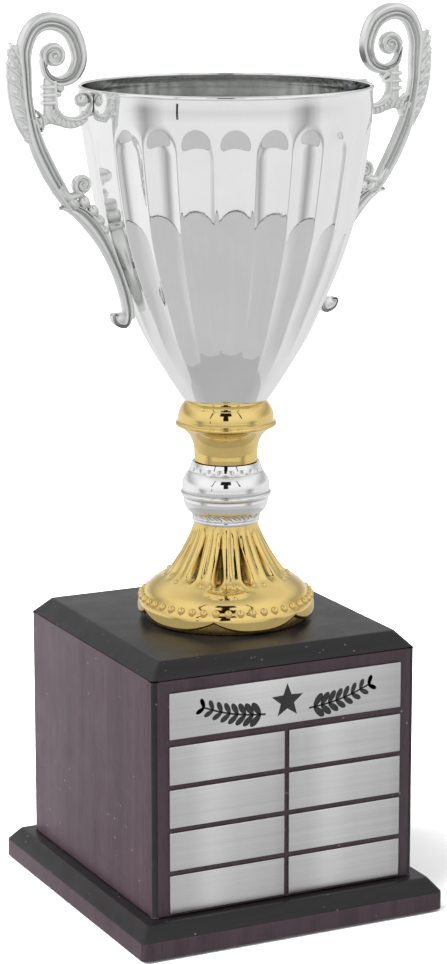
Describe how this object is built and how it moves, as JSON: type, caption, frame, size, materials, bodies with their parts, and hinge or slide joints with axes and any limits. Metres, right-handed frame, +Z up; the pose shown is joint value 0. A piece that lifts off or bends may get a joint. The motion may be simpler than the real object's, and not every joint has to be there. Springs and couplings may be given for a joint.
{
  "type": "cup trophy",
  "caption": "Two-handled fluted silver cup on a gold and silver stem, bolted to a hollow wooden block with a chamfered plinth and blank engraving plates.",
  "frame": {"origin": "on the surface it stands on, at the middle of the whole trophy's footprint box: under the cup's axis from side to side and under the middle of the plinth from front to back", "axes": "+Z up along the cup's axis, +X to the right and -Y towards the viewer who reads the plates; the handles lie along X"},
  "size_m": [0.207, 0.153, 0.3973],
  "materials": {
    "felt": "black felt",
    "rosewood": "dark rosewood, satin lacquer",
    "black_lacquer": "black lacquer, satin",
    "gold_plate": "polished gold plate",
    "bright_silver": "mirror-polished silver plate",
    "cast_silver": "cast and silver plated, soft polish",
    "engraving_plate": "vertically brushed, satin",
    "steel": "zinc plated"
  },
  "bodies": {
    "root": {"base_felt": "felt", "plinth": "rosewood", "wall_front": "rosewood", "wall_right": "rosewood", "wall_back": "rosewood", "wall_left": "rosewood", "top_board": "black_lacquer", "foot": "gold_plate", "knop": "bright_silver", "collar": "gold_plate", "cup": "bright_silver", "handle_right": "cast_silver", "handle_left": "cast_silver", "tie_rod": "steel", "base_washer": "steel", "base_nut": "steel", "cup_washer": "steel", "cup_nut": "steel", "header_plate": "engraving_plate", "plinth_screw_1": "steel", "plinth_screw_2": "steel", "plinth_screw_3": "steel", "plinth_screw_4": "steel", "name_plate_1": "engraving_plate", "name_plate_2": "engraving_plate", "name_plate_3": "engraving_plate", "name_plate_4": "engraving_plate", "name_plate_5": "engraving_plate", "name_plate_6": "engraving_plate", "name_plate_7": "engraving_plate", "name_plate_8": "engraving_plate", "handle_screw_right_upper": "steel", "handle_screw_right_lower": "steel", "handle_screw_left_upper": "steel", "handle_screw_left_lower": "steel"}
  },
  "joints": []
}
